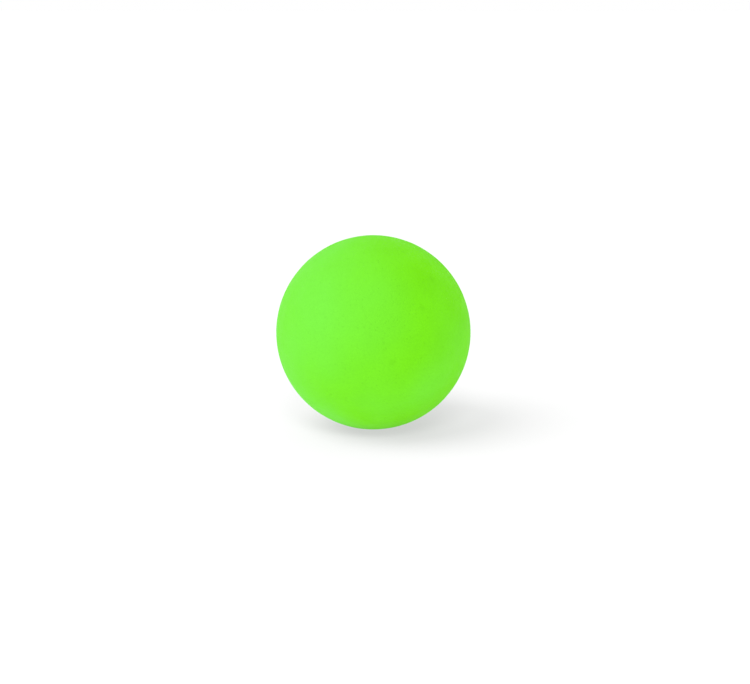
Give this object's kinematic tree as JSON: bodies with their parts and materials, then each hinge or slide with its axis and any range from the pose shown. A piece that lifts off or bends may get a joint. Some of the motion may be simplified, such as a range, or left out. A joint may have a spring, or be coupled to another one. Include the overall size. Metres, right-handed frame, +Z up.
{
  "type": "bouncy ball",
  "caption": "Hollow rubber bouncy ball with a matte neon green surface, made of cemented half shells round pressurised air and a self-sealing plug.",
  "frame": {"origin": "centre of the ball", "axes": "+Z up; +Y along the axis that the pieces are turned round, square to the seam, which stands upright in the XZ plane; the plug is inside the +Y pole"},
  "size_m": [0.06, 0.06, 0.06],
  "materials": {
    "green_rubber": "matte",
    "seam_cement": "matte",
    "plug_gum": "satin"
  },
  "bodies": {
    "root": {"front_half_shell": "green_rubber", "rear_half_shell": "green_rubber", "seam_cement": "seam_cement", "inflation_plug": "plug_gum"}
  },
  "joints": []
}
